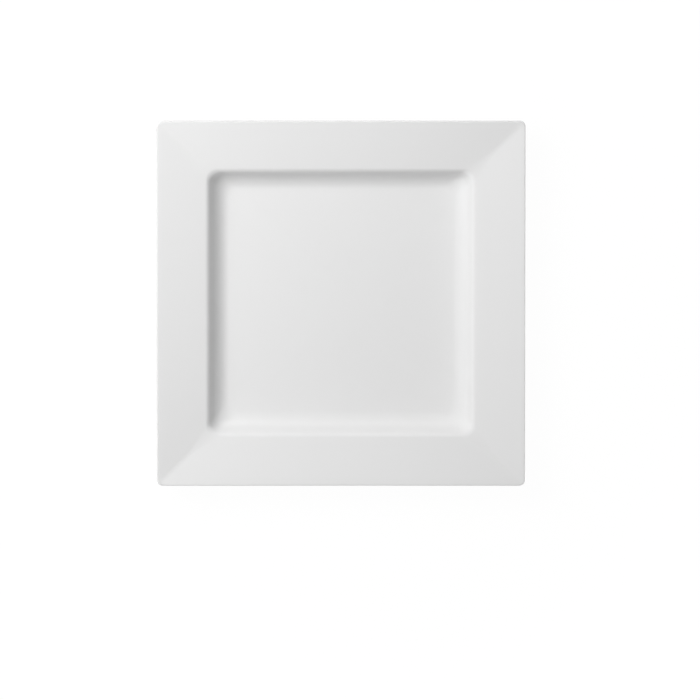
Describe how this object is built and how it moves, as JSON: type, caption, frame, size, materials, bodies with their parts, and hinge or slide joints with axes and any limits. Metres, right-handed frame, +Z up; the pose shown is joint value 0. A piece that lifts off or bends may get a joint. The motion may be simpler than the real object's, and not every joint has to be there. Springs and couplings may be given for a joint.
{
  "type": "square dinner plate",
  "caption": "Square dinner plate with a wide sloped rim, a square well with rounded walls and a bare foot ring; it holds one serving of food.",
  "frame": {"origin": "centre of the plane that the foot ring stands on", "axes": "+Z up, out of the well; X and Y run along the plate's sides, and the four sides are alike"},
  "size_m": [0.266, 0.266, 0.0276],
  "materials": {
    "bisque": "matte",
    "white_glaze": "gloss"
  },
  "bodies": {
    "root": {"porcelain_body": "bisque", "outer_glaze": "white_glaze", "base_glaze": "white_glaze"}
  },
  "joints": []
}
